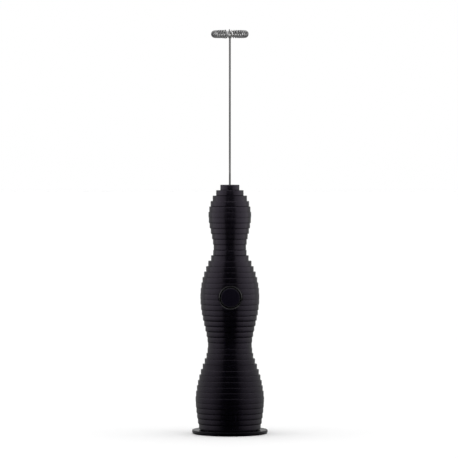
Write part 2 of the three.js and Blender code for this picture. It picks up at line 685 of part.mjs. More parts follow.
function switchBezel() {
  const chamfer = 0.35;
  return hollowOnButton([
    [BEZEL_BORE, BEZEL_FACE], [BEZEL_RADIUS - chamfer, BEZEL_FACE], [BEZEL_RADIUS, BEZEL_FACE + chamfer],
    [BEZEL_RADIUS, BEZEL_FLANGE.front], [BEZEL_FLANGE.radius, BEZEL_FLANGE.front],
    [BEZEL_FLANGE.radius, BEZEL_FLANGE.back], [BEZEL_FLANGE.bore, BEZEL_FLANGE.back],
    [BEZEL_FLANGE.bore, BEZEL_FLANGE.step], [BEZEL_BORE, BEZEL_FLANGE.step],
  ], 28);
}

function buttonCap() {
  const chamfer = 0.3;
  const shoulder = BRIDGE.front - 0.15;
  const tip = BRIDGE.back + 0.2;
  return turnedOnButton([
    [0, BUTTON_FACE], [BUTTON_RADIUS - chamfer, BUTTON_FACE], [BUTTON_RADIUS, BUTTON_FACE + chamfer],
    [BUTTON_RADIUS, LIP.front], [LIP.radius, LIP.front], [LIP.radius, LIP.back], [STEM.radius, LIP.back],
    [STEM.radius, shoulder], [STEM.neck, shoulder], [STEM.neck, tip], [0, tip],
  ], 28);
}

function contactBridge() {
  return hollowOnButton([
    [BRIDGE.bore, BRIDGE.front], [BRIDGE.radius, BRIDGE.front],
    [BRIDGE.radius, BRIDGE.back], [BRIDGE.bore, BRIDGE.back],
  ], 16);
}

function buttonSpring() {
  const front = LIP.back + 0.55;
  const back = BASE_PLATE.front - 0.35;
  const path = new Formula((t) => {
    const a = 2 * Math.PI * SPRING.turns * t;
    const [x, z] = [SPRING.radius * Math.cos(a), BUTTON_Z + SPRING.radius * Math.sin(a)];
    return new THREE.Vector3(x, front + (back - front) * t, z);
  });
  return wire(path, SPRING.wire, 36, 4);
}

// An upright plate across the frother, centred on the button's axis.
function switchPlate({ front, back }) {
  const low = [-BASE_PLATE.halfX, front, BUTTON_Z - BASE_PLATE.halfZ];
  const high = [BASE_PLATE.halfX, back, BUTTON_Z + BASE_PLATE.halfZ];
  return block(low, high);
}

function switchBase() {
  const legs = bothSides((side) => bothSides((upper) => {
    const [x, z] = [side * LEG.x, BUTTON_Z + upper * LEG.z];
    const front = [x - LEG.half, BASE_PLATE.back - 0.2, z - LEG.half];
    const back = [x + LEG.half, BOARD.front - 0.2, z + LEG.half];
    return block(front, back);
  }));
  const stemHole = turnedOnButton([
    [0, BASE_PLATE.front - 1], [STEM.radius + 0.3, BASE_PLATE.front - 1],
    [STEM.radius + 0.3, BASE_PLATE.back + 1], [0, BASE_PLATE.back + 1],
  ], 12);
  return cut(join(switchPlate(BASE_PLATE), ...legs.flat()), stemHole);
}

function switchTerminal(side) {
  const back = BOARD.front - CONTACT.gap;
  const low = [side * CONTACT.x - CONTACT.halfX, back - CONTACT.thickness, BUTTON_Z - CONTACT.halfZ];
  const high = [side * CONTACT.x + CONTACT.halfX, back, BUTTON_Z + CONTACT.halfZ];
  return block(low, high);
}

add("switch_bezel", switchBezel(), footBlack);
add("button_cap", buttonCap(), buttonBlack);
add("contact_bridge", contactBridge(), plated);
add("button_spring", buttonSpring(), plated);
add("switch_base", switchBase(), framePlastic);
add("switch_board", switchPlate(BOARD), boardGreen);
bothSides((side) => add(`switch_terminal_${side < 0 ? 1 : 2}`, switchTerminal(side), plated));

// ---------------------------------------------------------------- leads

// An insulated lead through the points that it is dressed along.
function lead(points) {
  const route = points.map(([x, y, z]) => new THREE.Vector3(x, y, z));
  const path = new THREE.CatmullRomCurve3(route, false, "centripetal");
  return wire(path, 0.6, 16, 5);
}

const plusTab = [CELL_OFFSET, 0, LEAD_START + 0.4];
const minusTab = [-CELL_OFFSET, 0, LEAD_START + 0.4];
const leftBrush = [-TERMINAL.x, 0, TERMINAL.low - 0.5];
const rightBrush = [TERMINAL.x, 0, TERMINAL.low - 0.5];

add(
  "lead_battery_switch",
  lead([plusTab, [7.3, -0.6, 66], [6.2, -2.6, 82], [4.4, -5.4, 95], [2.9, -7, 100.5], [2.8, -7.2, 103]]),
  redLead,
);
add(
  "lead_switch_motor",
  lead([
    [-2.8, -7.2, 107], [-2.6, -6.6, 110], [0, -4.4, 117], [3.4, -2.4, 127], [6, -0.7, 136.5], rightBrush,
  ]),
  redLead,
);
add(
  "lead_battery_motor",
  lead([
    minusTab, [-7.8, -0.6, 66], [-9.8, -1.7, 78], [-10.4, -2, 95], [-10.4, -2, 115],
    [-9.2, -1.5, 126], [-7.1, -0.6, 136], leftBrush,
  ]),
  blackLead,
);

export default root;
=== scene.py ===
"""The looks of a battery milk frother, built round the fixed frame of its bodies and joints.

The frame is in metres, +Z up, with the button facing -Y and the middle of the foot at the origin. A number
times MM is a length in millimetres, and what is in millimetres throughout says so.
"""

import json
import math

import bmesh
import bpy
from mathutils import Matrix, Vector

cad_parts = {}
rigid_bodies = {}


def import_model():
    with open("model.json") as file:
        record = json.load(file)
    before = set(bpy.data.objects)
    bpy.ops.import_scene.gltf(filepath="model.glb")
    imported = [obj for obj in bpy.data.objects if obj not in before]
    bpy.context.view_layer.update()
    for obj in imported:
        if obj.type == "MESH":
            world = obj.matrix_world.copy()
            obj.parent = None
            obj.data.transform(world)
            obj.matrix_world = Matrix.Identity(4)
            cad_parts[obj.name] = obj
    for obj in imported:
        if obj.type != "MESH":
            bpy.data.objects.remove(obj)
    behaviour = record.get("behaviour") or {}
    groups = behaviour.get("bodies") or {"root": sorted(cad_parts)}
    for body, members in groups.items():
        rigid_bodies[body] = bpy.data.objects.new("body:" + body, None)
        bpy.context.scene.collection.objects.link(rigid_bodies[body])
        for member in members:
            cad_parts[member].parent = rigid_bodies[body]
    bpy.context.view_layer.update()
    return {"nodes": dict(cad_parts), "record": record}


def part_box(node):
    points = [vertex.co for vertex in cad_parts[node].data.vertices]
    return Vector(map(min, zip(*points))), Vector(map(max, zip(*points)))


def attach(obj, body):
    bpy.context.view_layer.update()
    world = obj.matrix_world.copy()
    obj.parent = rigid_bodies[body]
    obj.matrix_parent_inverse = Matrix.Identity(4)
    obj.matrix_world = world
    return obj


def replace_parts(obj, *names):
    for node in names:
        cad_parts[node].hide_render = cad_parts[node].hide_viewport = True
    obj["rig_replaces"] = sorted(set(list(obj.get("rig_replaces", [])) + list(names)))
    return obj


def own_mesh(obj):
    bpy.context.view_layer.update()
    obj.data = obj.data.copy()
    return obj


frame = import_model()

MM = 0.001

# ---------------------------------------------------------------- camera

CAMERA_DISTANCE = 2.611  # level distance from the frother's axis
CAMERA_HEIGHT = 0.240
CAMERA_TURN = math.radians(1.2)  # the button sits a little right of the axis
AIM_HEIGHT = 0.1571
AIM_LEFT = 0.00065  # the frother stands this far right of the middle of the view
FOCAL_LENGTH = 267.65  # in millimetres, with a 36 mm sensor
FARTHEST_SEEN = 50


def make_camera():
    """A camera in front of the frother, looking slightly down on it."""
    data = bpy.data.cameras.new("camera")
    data.lens = FOCAL_LENGTH
    data.clip_end = FARTHEST_SEEN
    camera = bpy.data.objects.new("camera", data)
    bpy.context.scene.collection.objects.link(camera)
    towards = Vector((math.sin(CAMERA_TURN), math.cos(CAMERA_TURN), 0))
    aside = Vector((towards.y, -towards.x, 0)) * AIM_LEFT
    camera.location = Vector((0, 0, CAMERA_HEIGHT)) - towards * CAMERA_DISTANCE - aside
    aim = Vector((0, 0, AIM_HEIGHT)) - aside
    camera.rotation_euler = (aim - camera.location).to_track_quat("-Z", "Y").to_euler()
    bpy.context.scene.camera = camera


make_camera()

# ---------------------------------------------------------------- shader helpers


class Shader:
    """A node tree, with short calls for the nodes that the materials and the world are made of."""

    def __init__(self, tree):
        self.tree = tree

    def node(self, kind, inputs=None, **settings):
        made = self.tree.nodes.new(kind)
        for name, value in settings.items():
            setattr(made, name, value)
        for name, value in (inputs or {}).items():
            self.set(made.inputs[name], value)
        return made

    def set(self, socket, value):
        if isinstance(value, bpy.types.NodeSocket):
            self.tree.links.new(value, socket)
        else:
            socket.default_value = value

    def math(self, operation, a, b=0.0, clamp=False):
        made = self.node("ShaderNodeMath", {0: a, 1: b}, operation=operation, use_clamp=clamp)
        return made.outputs[0]

    def remap(self, value, low, high, to_low=0.0, to_high=1.0, smooth=False):
        kind = "SMOOTHSTEP" if smooth else "LINEAR"
        inputs = {"Value": value, "From Min": low, "From Max": high, "To Min": to_low, "To Max": to_high}
        return self.node("ShaderNodeMapRange", inputs, interpolation_type=kind).outputs["Result"]

    def noise(self, vector, scale, detail=3.0, roughness=0.55, distortion=0.0):
        inputs = {"Vector": vector, "Scale": scale, "Detail": detail}
        inputs.update({"Roughness": roughness, "Distortion": distortion})
        return self.node("ShaderNodeTexNoise", inputs).outputs["Fac"]

    def stretched(self, vector, x, y, z):
        return self.node("ShaderNodeMapping", {"Vector": vector, "Scale": (x, y, z)}).outputs["Vector"]

    def blend(self, factor, first, second):
        made = self.node("ShaderNodeMix", {"Factor": factor}, data_type="RGBA")
        self.set(made.inputs[6], first)
        self.set(made.inputs[7], second)
        return made.outputs[2]

    def bump(self, height, depth, strength):
        inputs = {"Height": height, "Distance": depth, "Strength": strength}
        return self.node("ShaderNodeBump", inputs).outputs["Normal"]

    def surface(self, colour, roughness, normal):
        """Gives the Principled shader what varies over the surface."""
        inputs = self.tree.nodes["Principled BSDF"].inputs
        self.set(inputs["Base Color"], colour)
        self.set(inputs["Roughness"], roughness)
        self.set(inputs["Normal"], normal)


def grey(value):
    return (value, value, value, 1.0)


def scaled(colour, factor):
    return tuple(channel * factor for channel in colour[:3]) + (1.0,)


def new_material(name, **constants):
    """A material with one Principled shader, its constants set on the shader's own sockets, with its node
    tree and the place on the object that its patterns follow."""
    material = bpy.data.materials.new(name)
    material.use_nodes = True
    inputs = material.node_tree.nodes["Principled BSDF"].inputs
    for socket, value in constants.items():
        inputs[socket.replace("_", " ")].default_value = value
    shader = Shader(material.node_tree)
    place = shader.node("ShaderNodeTexCoord").outputs["Object"]
    return material, shader, place


# ---------------------------------------------------------------- materials


def satin_plastic(name, base, worn, roughness, grain_depth, tint):
    """Black moulded plastic: a fine even grain, faint handling marks, and edges polished by use."""
    material, shader, place = new_material(name, IOR=1.5, Specular_Tint=tint)
    grain = shader.noise(place, 5200, detail=2.0)
    cloud = shader.noise(place, 34, detail=4.0, distortion=0.6)
    smear = shader.noise(shader.stretched(place, 160, 160, 45), 1.0, detail=5.0, roughness=0.65)
    edge = shader.remap(shader.node("ShaderNodeNewGeometry").outputs["Pointiness"], 0.53, 0.6)
    clouded = shader.remap(cloud, 0.3, 0.7, roughness - 0.02, roughness + 0.02)
    handled = shader.math("ADD", clouded, shader.remap(smear, 0.35, 0.75, -0.02, 0.03))
    polished = shader.math("SUBTRACT", handled, shader.math("MULTIPLY", edge, 0.06), clamp=True)
    tone = shader.blend(shader.remap(cloud, 0.3, 0.7), base, scaled(base, 1.25))
    shader.surface(shader.blend(edge, tone, worn), polished, shader.bump(grain, grain_depth, 0.6))
    return material


def gloss_plastic(name, base, roughness, tint, ior=1.5):
    """Polished black plastic with faint swirl marks and a few specks of dust."""
    material, shader, place = new_material(name, IOR=ior, Specular_Tint=tint)
    haze = shader.noise(place, 60, detail=5.0, roughness=0.6)
    scratch = shader.noise(shader.stretched(place, 5000, 240, 300), 1.0, detail=2.0, distortion=0.8)
    marks = shader.math("MULTIPLY", shader.remap(scratch, 0.62, 0.7), 0.06)
    marked = shader.math("ADD", shader.remap(haze, 0.3, 0.75, roughness - 0.02, roughness + 0.05), marks)
    cells = shader.node("ShaderNodeTexVoronoi", {"Vector": place, "Scale": 900.0}, feature="F1")
    dusty = shader.remap(shader.noise(place, 300, detail=1.0), 0.6, 0.66)
    speck = shader.math("MULTIPLY", shader.remap(cells.outputs["Distance"], 0.09, 0.05), dusty)
    shader.surface(shader.blend(speck, base, grey(0.05)), marked, shader.bump(scratch, 0.002 * MM, 0.25))
    return material


def drawn_steel(name, tone, roughness, along="z"):
    """Bright stainless wire, with drawing lines along Z or with fine marks all over."""
    material, shader, place = new_material(name, Metallic=1.0)
    scales = {"z": (9000, 9000, 120), "all": (1500, 1500, 1500)}[along]
    lines = shader.noise(shader.stretched(place, *scales), 1.0, detail=3.0, roughness=0.6)
    stain = shader.remap(shader.noise(place, 90, detail=4.0), 0.45, 0.75)
    dull = (tone * 0.86, tone * 0.85, tone * 0.82, 1.0)
    rough = shader.remap(lines, 0.3, 0.7, roughness - 0.05, roughness + 0.09)
    shader.surface(shader.blend(stain, grey(tone), dull), rough, shader.bump(lines, 0.004 * MM, 0.4))
    return material


def moulded(name, base, roughness, depth=0.012 * MM):
    """Plain moulded plastic or rubber with a fine grain and uneven tone."""
    material, shader, place = new_material(name, IOR=1.5)
    grain = shader.noise(place, 2600, detail=3.0)
    cloud = shader.noise(place, 70, detail=4.0)
    tone = shader.blend(shader.remap(cloud, 0.3, 0.7), base, scaled(base, 1.18))
    rough = shader.remap(cloud, 0.3, 0.7, roughness - 0.05, roughness + 0.05)
    shader.surface(tone, rough, shader.bump(grain, depth, 0.5))
    return material


def plated(name, base, roughness):
    """Plated or turned metal with a fine mottle."""
    material, shader, place = new_material(name, Metallic=1.0)
    mottle = shader.noise(place, 700, detail=4.0)
    tone = shader.blend(shader.remap(mottle, 0.35, 0.7), base, scaled(base, 0.82))
    rough = shader.remap(mottle, 0.3, 0.7, roughness - 0.05, roughness + 0.1)
    shader.surface(tone, rough, shader.bump(mottle, 0.004 * MM, 0.3))
    return material


MATERIALS = {
    "body_plastic": satin_plastic(
        "body_plastic", base=(0.0003, 0.0001, 0.0018, 1), worn=grey(0.0015),
        roughness=0.25, grain_depth=0.004 * MM, tint=(0.9, 0.78, 1, 1),
    ),
    "button_plastic": satin_plastic(
        "button_plastic", base=(0.0008, 0.0006, 0.0024, 1), worn=grey(0.002),
        roughness=0.34, grain_depth=0.001 * MM, tint=(0.53, 0.44, 0.75, 1),
    ),
    # The cap's edge is painted in a lighter copy of the button's plastic: a painted highlight for the light
    # line that its rounded edge catches.
    "button_edge_painted_highlight": satin_plastic(
        "button_edge_painted_highlight", base=(0.014, 0.013, 0.017, 1), worn=grey(0.017),
        roughness=0.34, grain_depth=0.001 * MM, tint=(0.8, 0.72, 1, 1),
    ),
    "foot_plastic": gloss_plastic(
        "foot_plastic", base=(0.0003, 0.0003, 0.001, 1), roughness=0.12, tint=(0.3, 0.28, 0.34, 1)
    ),
    "bezel_plastic": gloss_plastic(
        "bezel_plastic", base=(0.0003, 0.0003, 0.001, 1), roughness=0.16, tint=(1, 0.98, 1, 1), ior=1.8
    ),
    "wire_steel": drawn_steel("wire_steel", tone=0.18, roughness=0.22),
    "coil_steel": drawn_steel("coil_steel", tone=0.26, roughness=0.14, along="all"),
    # The hoop is the same wire as the shaft; this lighter copy of its steel is painted light that brightens
    # the hoop.
    "hoop_steel_painted_light": drawn_steel("hoop_steel_painted_light", tone=0.5, roughness=0.42, along="all"),
    "frame_plastic": moulded("frame_plastic", (0.28, 0.29, 0.3, 1), 0.5),
    "bearing_plastic": moulded("bearing_plastic", (0.012, 0.012, 0.013, 1), 0.45),
    "rubber": moulded("rubber", (0.012, 0.012, 0.012, 1), 0.8, depth=0.03 * MM),
    "motor_steel": plated("motor_steel", (0.5, 0.5, 0.48, 1), 0.3),
    "contact_metal": plated("contact_metal", (0.62, 0.6, 0.55, 1), 0.25),
    "brass": plated("brass", (0.62, 0.42, 0.14, 1), 0.28),
    "ferrite": moulded("ferrite", (0.03, 0.03, 0.034, 1), 0.6),
    "cell_wrap": moulded("cell_wrap", (0.02, 0.035, 0.06, 1), 0.3, depth=0.004 * MM),
    "circuit_board": moulded("circuit_board", (0.01, 0.09, 0.035, 1), 0.35, depth=0.004 * MM),
    "red_lead": moulded("red_lead", (0.36, 0.012, 0.012, 1), 0.4),
    "black_lead": moulded("black_lead", (0.01, 0.01, 0.01, 1), 0.4),
}
SLOT_OF = {part["node"]: part["material_slot"] for part in frame["record"]["subparts"]}
BODY_OF = {node: body for body, nodes in frame["record"]["behaviour"]["bodies"].items() for node in nodes}


def dress(piece, node, material=None):
    """The piece stands for a CAD node: same body, same slot."""
    slot = SLOT_OF[node]
    piece.data.materials.append(MATERIALS[material or slot])
    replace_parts(piece, node)
    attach(piece, BODY_OF[node])
    return piece


def repaint(piece, material, chosen):
    """Gives a second material to the faces whose middles are chosen."""
    piece.data.materials.append(MATERIALS[material])
    for face in piece.data.polygons:
        face.material_index = int(chosen(face.center))


# ---------------------------------------------------------------- outlines of turned pieces

UPRIGHT = Matrix.Identity(4)
BUTTON_HEIGHT = sum(corner.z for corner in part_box("button_cap")) / 2
# The button's axis points inwards, along +Y; this turns it onto Z, with the button's middle at the origin.
BUTTON_AXIS = Matrix.Rotation(math.radians(90), 4, "X") @ Matrix.Translation((0, 0, -BUTTON_HEIGHT))

TOUCHING = 1e-7  # corners of a mesh that are closer than this are one corner
ON_CUT = 1e-8  # corners that are closer to a cut than this lie on it
EQUAL = 1e-6  # lengths that differ by less than this are the same
DOUBLED = 2e-5  # neighbouring points of an outline that are closer than this are one corner
PROUD = 1e-5  # a wall stands outside another if its radius is this much larger
SLIVER = 2e-4  # radians from the facets' own edge to the cut, so that it crosses their faces
STRAIGHT = math.radians(1)
ROUNDABLE = math.radians(12)  # a corner that turns less than this stays as it is
MOST_OF_SIDE = 0.42  # the share of a side that one corner's round may take


def section(node, to_axis=UPRIGHT):
    """The outline of a turned CAD node in the half plane on its axis: (radius, height) points in order, and
    whether they close on themselves."""
    bm = bmesh.new()
    bm.from_mesh(frame["nodes"][node].data)
    bmesh.ops.transform(bm, matrix=Matrix.Rotation(SLIVER, 4, "Z") @ to_axis, verts=bm.verts)
    bmesh.ops.remove_doubles(bm, verts=bm.verts, dist=TOUCHING)
    for normal, clear in (((1, 0, 0), True), ((0, 1, 0), False)):
        everything = [*bm.verts, *bm.edges, *bm.faces]
        cut = bmesh.ops.bisect_plane(
            bm, geom=everything, dist=ON_CUT, plane_co=(0, 0, 0), plane_no=normal, clear_inner=clear
        )["geom_cut"]
    links = {}
    for edge in cut:
        if isinstance(edge, bmesh.types.BMEdge):
            a, b = edge.verts
            links.setdefault(a, []).append(b)
            links.setdefault(b, []).append(a)
    ends = [v for v, near in links.items() if len(near) == 1]
    start = min(ends, key=lambda v: v.co.z) if ends else max(links, key=lambda v: v.co.x)
    path, last = [start], None
    while True:
        onward = [v for v in links[path[-1]] if v is not last]
        if not onward or onward[0] is start:
            break
        last = path[-1]
        path.append(onward[0])
    points = [(v.co.x, v.co.z) for v in path]
    bm.free()
    closed = not ends
    return straightened(single(points), closed), closed


def single(points):
    """The same outline with one point for each doubled pair: the one farther from the axis."""
    kept = []
    for point in points:
        if kept and math.dist(point, kept[-1]) < DOUBLED:
            kept[-1] = max(point, kept[-1])
        else:
            kept.append(point)
    return kept


def straightened(points, closed):
    """The same outline with the points that lie on a straight line taken out."""
    kept = []
    count = len(points)
    for i, here in enumerate(points):
        if not closed and i in (0, count - 1):
            kept.append(here)
            continue
        before, after = Vector(points[i - 1]), Vector(points[(i + 1) % count])
        into, out = Vector(here) - before, after - Vector(here)
        if into.length < EQUAL or out.length < EQUAL or abs(into.angle_signed(out)) > STRAIGHT:
            kept.append(here)
    return kept


def rounded(points, closed, radius, steps=3):
    """The outline with each corner turned into an arc of that radius, or less where its sides are short."""
    made = []
    count = len(points)
    for i, here in enumerate(points):
        if not closed and i in (0, count - 1):
            made.append(here)
            continue
        corner = Vector(here)
        back, ahead = Vector(points[i - 1]) - corner, Vector(points[(i + 1) % count]) - corner
        turn = math.pi - back.angle(ahead)
        if turn < ROUNDABLE:
            made.append(here)
            continue
        reach = min(radius * math.tan(turn / 2), MOST_OF_SIDE * back.length, MOST_OF_SIDE * ahead.length)
        first, last = corner + back.normalized() * reach, corner + ahead.normalized() * reach
        made.extend(quarter(first, corner, last, k / steps) for k in range(steps + 1))
    return made


def quarter(first, corner, last, t):
    """A point on the round between the two sides of a corner."""
    return tuple(first * (1 - t) ** 2 + corner * 2 * t * (1 - t) + last * t ** 2)


# ---------------------------------------------------------------- outlines of the stepped shells

STEP_LEAST_HEIGHT = 3 * MM
STEP_BULGE = 0.02 * MM
STEP_TOP_ROUND = 0.12 * MM
STEP_BOTTOM_ROUND = {"crown_shell": 0.1 * MM, "grip_shell": 0.52 * MM, "lower_shell": 1.4 * MM}
STEP_UNDERCUT = 0.5 * MM
STEP_UNDERCUT_SHARE = 0.6  # of the overhang, at most
STEP_GROOVE_DEPTH = 0.05 * MM  # the groove is at the foot of a step that stands on a wider one
STEP_GROOVE_HEIGHT = 0.08 * MM


def outermost(points, low, high):
    """Whether the upright stretch between two points of an outline is on the outside of the piece."""
    middle = (low[1] + high[1]) / 2
    for a, b in zip(points, points[1:] + points[:1]):
        bottom, top = sorted((a[1], b[1]))
        if bottom < middle < top and max(a[0], b[0]) > low[0] + PROUD:
            return False
    return True


def is_wall(points, start, end):
    """Whether a stretch of an outline is one upright step of the body."""
    upright = abs(start[0] - end[0]) < EQUAL and abs(start[1] - end[1]) > STEP_LEAST_HEIGHT
    return upright and outermost(points, start, end)


def barrelled(points, bottom_round):
    """A shell's closed outline, with each step of its outside swelling a little between a small round at its
    top and a long one at its bottom."""
    start = min(range(len(points)), key=lambda i: points[i][0])
    points = points[start:] + points[:start]
    made = []
    for i, here in enumerate(points):
        before, after = points[i - 1], points[(i + 1) % len(points)]
        ends_wall, starts_wall = is_wall(points, before, here), is_wall(points, here, after)
        if not (ends_wall or starts_wall):
            made.append(here)
            continue
        wall_end, step_end = (before, after) if ends_wall else (after, before)
        arc = step_corner(here, wall_end, step_end, bottom_round)
        if ends_wall:
            made.extend(bulged(made[-1], arc[0]))
        made.extend(arc if ends_wall else reversed(arc))
    return made


def step_corner(here, wall_end, step_end, bottom_round):
    """The points round one end of a step's wall, from the wall outwards: a round where the wall ends in the
    open, and a groove where it stands on a wider step."""
    at_top = here[1] > wall_end[1]
    if step_end[0] < here[0]:
        up_wall = STEP_TOP_ROUND if at_top else bottom_round
        in_step = STEP_TOP_ROUND if at_top else min(bottom_round, STEP_UNDERCUT)
        return corner_round(here, wall_end, step_end, up_wall, in_step)
    if at_top:
        return [here]
    return [(here[0], here[1] + STEP_GROOVE_HEIGHT), (here[0] - STEP_GROOVE_DEPTH, here[1])]


def corner_round(corner, wall_end, step_end, up_wall, in_step, steps=5):
    """The round from a wall onto a step, given how far it goes along each."""
    corner = Vector(corner)
    along_wall, along_step = Vector(wall_end) - corner, Vector(step_end) - corner
    first = corner + along_wall.normalized() * up_wall
    last = corner + along_step.normalized() * min(in_step, STEP_UNDERCUT_SHARE * along_step.length)
    return [quarter(first, corner, last, k / steps) for k in range(steps + 1)]


def bulged(low, high, steps=6):
    """The points between the two ends of an upright wall, on a shallow arc."""
    made = []
    for k in range(1, steps):
        t = k / steps
        made.append((low[0] + STEP_BULGE * 4 * t * (1 - t), low[1] + (high[1] - low[1]) * t))
    return made


# ---------------------------------------------------------------- meshes of turned pieces

TURNED_SEGMENTS = 96


def revolve(name, outline, closed, segments, from_axis=UPRIGHT):
    """A closed mesh from an outline turned about Z, then carried to its own axis."""
    bm = bmesh.new()
    rings = []
    for radius, height in outline:
        if radius < EQUAL:
            rings.append([bm.verts.new((0, 0, height))])
            continue
        turns = (2 * math.pi * k / segments for k in range(segments))
        rings.append([bm.verts.new((radius * math.cos(a), radius * math.sin(a), height)) for a in turns])
    pairs = list(zip(rings, rings[1:])) + ([(rings[-1], rings[0])] if closed else [])
    for low, high in pairs:
        for k in range(segments):
            after = (k + 1) % segments
            corners = [low[k % len(low)], low[after % len(low)], high[after % len(high)], high[k % len(high)]]
            bm.faces.new(list(dict.fromkeys(corners)))
    bmesh.ops.transform(bm, matrix=from_axis, verts=bm.verts)
    return finished(name, bm)


def finished(name, bm, sharp=50):
    """A linked object from a bmesh, shaded smooth apart from edges that turn more than that many degrees."""
    bmesh.ops.recalc_face_normals(bm, faces=bm.faces)
    for face in bm.faces:
        face.smooth = True
    for edge in bm.edges:
        edge.smooth = len(edge.link_faces) == 2 and edge.calc_face_angle() < math.radians(sharp)
    mesh = bpy.data.meshes.new(name)
    bm.to_mesh(mesh)
    bm.free()
    piece = bpy.data.objects.new(name, mesh)
    bpy.context.scene.collection.objects.link(piece)
    return piece


def weighted(piece):
    """Flat faces keep their own shading, and only the small rounds between them blend."""
    modifier = piece.modifiers.new("weighted normals", "WEIGHTED_NORMAL")
    modifier.keep_sharp = True
    modifier.weight = 100
    return piece


def turned(node, radius, segments=TURNED_SEGMENTS, to_axis=UPRIGHT):
    """A fine piece for a turned CAD node, with its corners rounded to that radius in millimetres."""
    outline, closed = section(node, to_axis)
    fine = rounded(outline, closed, radius * MM)
    return dress(weighted(revolve("fine_" + node, fine, closed, segments, to_axis.inverted())), node)


# ---------------------------------------------------------------- body and foot

SHELL_SEGMENTS = 144
BEZEL_SEGMENTS = 128
FACE_DEPTH = 2 * MM  # how far back the bezel's front ring goes, at least
WINDOW_GAP = 0.06 * MM  # between the bezel and the window that it sits in
WINDOW_FRONT, WINDOW_BACK = -32 * MM, -12 * MM  # from in front of the grip to its hollow
BEAD_REACH = 0.75 * MM
BEAD_STEPS = 8
SMALL_ROUND = 0.15 * MM
# The foot's rim lies outside this radius. Its blunt outline is given in millimetres: how far in from the
# greatest radius, and how far up from its bottom or down from its top.
RIM_INSIDE = 27.5 * MM
RIM_BOTTOM = [(0.6, 0), (0.12, 0.35), (0, 0.8)]
RIM_TOP = [(0, 0.2), (0.1, 0)]
CAP_FACE_RADIUS = 6.6 * MM  # the painted highlight on the cap's edge starts here
# How far back from the cap's front the painted highlight reaches.
CAP_HIGHLIGHT_DEPTH = 0.6 * MM


def stepped_shell(node):
    """One of the three shells, with all its steps."""
    outline, closed = section(node)
    steps = barrelled(outline, STEP_BOTTOM_ROUND[node])
    return weighted(revolve("fine_" + node, steps, closed, SHELL_SEGMENTS))


def cut_out(piece, cutter):
    """The piece with the cutter's shape taken away, as plain mesh."""
    modifier = piece.modifiers.new("cut", "BOOLEAN")
    modifier.object = cutter
    modifier.operation = "DIFFERENCE"
    modifier.solver = "EXACT"
    piece.modifiers.move(len(piece.modifiers) - 1, 0)
    depsgraph = bpy.context.evaluated_depsgraph_get()
    made = bpy.data.meshes.new_from_object(piece.evaluated_get(depsgraph))
    piece.modifiers.clear()
    piece.data = made
    bpy.data.objects.remove(cutter)
    return piece


def bezel_front(outline):
    """How deep the bezel's front lies, and the radius of its front ring."""
    front = min(depth for radius, depth in outline)
    return front, max(radius for radius, depth in outline if depth < front + FACE_DEPTH)


def grip_shell():
    """The grip, with the round window that the bezel sits in."""
    rim = bezel_front(section("switch_bezel", BUTTON_AXIS)[0])[1]
    hole = rim + WINDOW_GAP
    plug = [(0, WINDOW_FRONT), (hole, WINDOW_FRONT), (hole, WINDOW_BACK), (0, WINDOW_BACK)]
    shell = stepped_shell("grip_shell")
    return cut_out(shell, revolve("window_cutter", plug, False, TURNED_SEGMENTS, BUTTON_AXIS.inverted()))


def switch_bezel():
    """The bezel, its front edge rolled over in a wide soft bead."""
    outline, closed = section("switch_bezel", BUTTON_AXIS)
    front, rim = bezel_front(outline)
    chamfer = [
        i for i, (radius, depth) in enumerate(outline)
        if depth < front + BEAD_REACH and radius > rim - BEAD_REACH
    ]
    inner = Vector((rim - BEAD_REACH, front))
    outer = Vector((rim, front + BEAD_REACH))
    bead = [quarter(inner, Vector((rim, front)), outer, k / BEAD_STEPS) for k in range(BEAD_STEPS + 1)]
    if outline[chamfer[0]][1] > front + EQUAL:
        bead.reverse()
    beaded = outline[:chamfer[0]] + bead + outline[chamfer[-1] + 1:]
    fine = rounded(beaded, closed, SMALL_ROUND)
    return weighted(revolve("fine_switch_bezel", fine, closed, BEZEL_SEGMENTS, BUTTON_AXIS.inverted()))


def foot_disc():
    """The foot, with a blunt rim."""
    outline, closed = section("base_disc")
    rim = [i for i, (radius, height) in enumerate(outline) if radius > RIM_INSIDE]
    radius = max(outline[i][0] for i in rim)
    low, high = min(outline[i][1] for i in rim), max(outline[i][1] for i in rim)
    blunt = [(radius - inset * MM, low + rise * MM) for inset, rise in RIM_BOTTOM]
    blunt += [(radius - inset * MM, high - drop * MM) for inset, drop in RIM_TOP]
    if outline[rim[0]][1] > outline[rim[-1]][1]:
        blunt.reverse()
    fine = rounded(outline[:rim[0]] + blunt + outline[rim[-1] + 1:], closed, SMALL_ROUND)
    return weighted(revolve("fine_base_disc", fine, closed, SHELL_SEGMENTS))


dress(stepped_shell("crown_shell"), "crown_shell")
dress(stepped_shell("lower_shell"), "lower_shell")
dress(grip_shell(), "grip_shell")
dress(foot_disc(), "base_disc")
turned("foot_pad", 0.25, SHELL_SEGMENTS)
turned("shaft_bush", 0.15)
bezel = dress(switch_bezel(), "switch_bezel", "bezel_plastic")
cap = turned("button_cap", 0.3, to_axis=BUTTON_AXIS)
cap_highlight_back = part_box("button_cap")[0].y + CAP_HIGHLIGHT_DEPTH
# The cap's front edge gets the lighter copy of its plastic, a painted highlight.
repaint(
    cap, "button_edge_painted_highlight",
    lambda at: math.hypot(at.x, at.z - BUTTON_HEIGHT) > CAP_FACE_RADIUS and at.y < cap_highlight_back,
)

# ---------------------------------------------------------------- wires

BLUNT_END = [(1.0, 0.0), (0.86, 0.3), (0.5, 0.48)]  # girth and reach of the rings that round a wire's end


